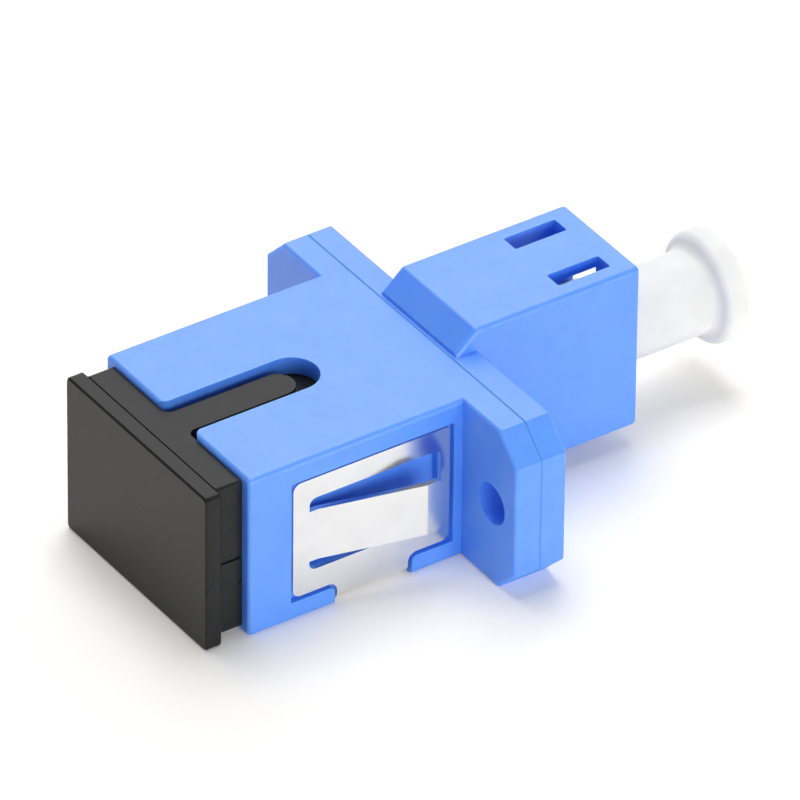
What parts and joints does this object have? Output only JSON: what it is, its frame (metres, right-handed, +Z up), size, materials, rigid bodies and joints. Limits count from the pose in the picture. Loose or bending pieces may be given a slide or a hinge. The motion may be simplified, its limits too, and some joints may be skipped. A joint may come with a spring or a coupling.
{
  "type": "hybrid fibre adapter",
  "caption": "Flanged fibre adapter joining a square push-pull plug port to a small latched plug port, with a sprung panel clip and dust caps.",
  "frame": {"origin": "on the optical axis, in the flange face that meets the panel, midway between the two screw holes", "axes": "+X along the optical axis towards the small latched port, +Y across the flange, +Z up towards the keyway"},
  "size_m": [0.035, 0.0222, 0.0107],
  "materials": {
    "blue_plastic": "satin moulded",
    "spring_steel": "bright rolled sheet",
    "insert_plastic": "natural moulded",
    "holder_metal": "turned",
    "sleeve_ceramic": "polished",
    "black_plastic": "satin black moulded",
    "white_plastic": "soft white moulded"
  },
  "bodies": {
    "adapter": {"sc_housing": "blue_plastic", "lc_housing": "blue_plastic", "mounting_clip": "spring_steel", "sc_latch_insert": "insert_plastic", "lc_sleeve_barrel": "insert_plastic", "sleeve_holder": "holder_metal", "sc_split_sleeve": "sleeve_ceramic", "lc_split_sleeve": "sleeve_ceramic"},
    "sc_cap": {"sc_dust_cap": "black_plastic"},
    "lc_cap": {"lc_dust_cap": "white_plastic"}
  },
  "joints": [
    {"name": "sc_cap_slide", "type": "slide", "parent": "adapter", "child": "sc_cap", "axis": [-1, 0, 0], "range_m": [0, 0.03]},
    {"name": "lc_cap_slide", "type": "slide", "parent": "adapter", "child": "lc_cap", "axis": [1, 0, 0], "range_m": [0, 0.03]}
  ]
}
